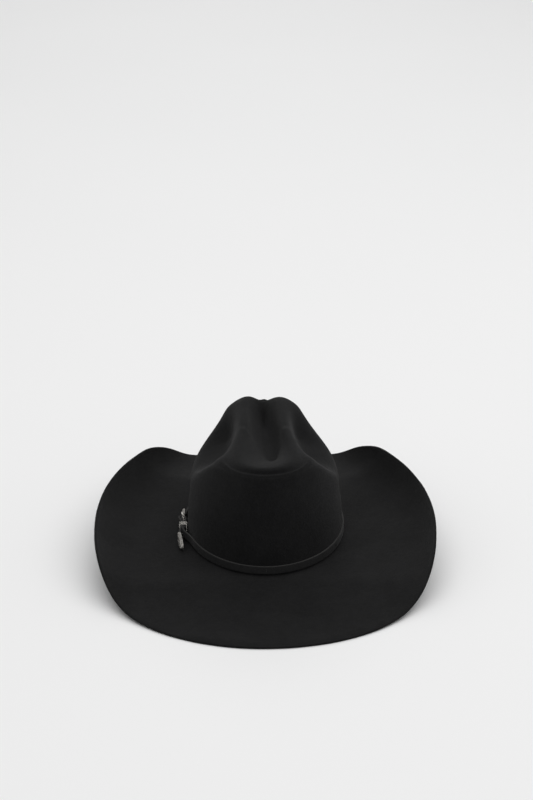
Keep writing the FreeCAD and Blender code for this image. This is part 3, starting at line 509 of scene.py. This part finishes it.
# %% Bow
def strip(columns, rows, place):
    """A grid bent into shape by a function of its two shares."""
    cloth = bmesh.new()
    bmesh.ops.create_grid(cloth, x_segments=columns, y_segments=rows, size=0.5)
    for vert in cloth.verts:
        vert.co = place(vert.co.x + 0.5, vert.co.y + 0.5)
    bmesh.ops.recalc_face_normals(cloth, faces=cloth.faces)
    return cloth


low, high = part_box("sweatband_bow")
centre = (low + high) / 2
half, tall = (high.x - low.x) / 2, (high.z - low.z) / 2
back, front = high.y, low.y
knot_half = half / 6
face = (back + front) / 2 + 0.0002


def loop_point(side):
    def point(round_loop, across):
        turn = 2 * math.pi * round_loop
        out = 0.5 - 0.5 * math.cos(turn)
        width = 0.34 + 0.62 * out ** 1.3
        bulge = math.sin(turn) * 0.0009 * (0.35 + out)
        wave = 0.0002 * math.sin(5 * turn + 4 * across)
        return Vector((side * (0.0006 + (half - 0.0008) * out), face + bulge + wave,
                       centre.z + (across - 0.5) * 2 * tall * width))
    return point


for name, side in (("bow_left", 1), ("bow_right", -1)):
    loop = strip(40, 8, loop_point(side))
    bmesh.ops.remove_doubles(loop, verts=loop.verts, dist=0.0001)
    bmesh.ops.recalc_face_normals(loop, faces=loop.faces)
    piece = finished(name, loop, bow_satin, "hat", stands_for=["sweatband_bow"])
    thick = piece.modifiers.new("thickness", "SOLIDIFY")
    thick.thickness, thick.offset = 0.0002, 0
knot = bmesh.new()
bmesh.ops.create_cube(knot, size=1)
bmesh.ops.subdivide_edges(knot, edges=knot.edges, cuts=4, use_grid_fill=True)
for vert in knot.verts:
    x, y, z = vert.co * 2
    pinch = 1 - 0.16 * (1 - abs(z)) - 0.1 * (x * x + y * y) / 2
    fold = 0.00008 * math.sin(9 * x)
    vert.co = (knot_half * x * pinch, face + (0.0012 + fold) * y * pinch,
               centre.z + tall * 0.46 * z * (1 - 0.15 * x * x))
bmesh.ops.bevel(knot, geom=sharp_edges(knot, 40), offset=0.0002, affect="EDGES", segments=2,
                profile=0.5, material=-1)
finished("bow_knot", knot, bow_satin, "hat")

# %% [markdown]
# ## Satin lining
# The lining is a strip sewn round an oval tip. It is cut a little longer than the way round, so
# it falls into soft upright folds, deepest halfway up its free part, and gone at the seam and
# where the leather holds it. The tip is one domed oval that sags very slightly. Both start from
# the CAD's own cloth: the strip's points are pushed towards the middle, the tip's downwards.

# %% Lining
shape = merged_copy("lining_side")
side_low, side_high = (corner.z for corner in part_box("lining_side"))
leather_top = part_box("sweatband")[1].z
upright = [edge for edge in shape.edges
           if abs(edge.verts[0].co.z - edge.verts[1].co.z) > 0.002]
bmesh.ops.subdivide_edges(shape, edges=upright, cuts=2)
for vert in shape.verts:
    share = max(0.0, min(1.0, (vert.co.z - leather_top + 0.001) / (side_high - leather_top)))
    angle = math.atan2(vert.co.y, vert.co.x)
    fold = 0.5 + 0.5 * math.sin(angle * 46 + 1.3 * math.sin(angle * 7))
    inward = Vector((-vert.co.x, -vert.co.y, 0)).normalized()
    vert.co += inward * (0.0009 * fold * math.sin(math.pi * share))
strip_cloth = finished("lining_strip", shape, lining_satin, "hat", stands_for=["lining_side"])
shape = merged_copy("lining_tip")
tip_low, tip_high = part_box("lining_tip")
for vert in shape.verts:
    share = (vert.co.z - tip_low.z) / (tip_high.z - tip_low.z)
    sag = noise.noise(vert.co * 22 + Vector((5, 2, 1))) * 0.0012 * share
    vert.co.z -= abs(sag)
tip_cloth = finished("lining_top", shape, lining_satin, "hat", stands_for=["lining_tip"])
cord = Finish("piping_cord", Sheen_Weight=0.2)
lay = cord.node("TexWave", {"bands_direction": "DIAGONAL"}, output=1, Vector=cord.place,
                Scale=260.0, Distortion=0.3)
nodes["lining_piping"].data.materials.clear()
nodes["lining_piping"].data.materials.append(cord.surface(
    Base_Color=cord.ramp(lay, (0.2, (0.06, 0.05, 0.04)), (0.9, (0.2, 0.175, 0.14))),
    Roughness=0.4 + lay * 0.1, Normal=cord.bump(lay, 0.0004, 0.8)))

# %% Sizes and finish
size = {"cad": [list(p) for p in cad_box], "seen": [list(p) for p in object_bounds()]}
print("largest excess over the CAD box, mm:", [
    round(1000 * max(size["cad"][0][k] - size["seen"][0][k],
                     size["seen"][1][k] - size["cad"][1][k]), 1) for k in range(3)])
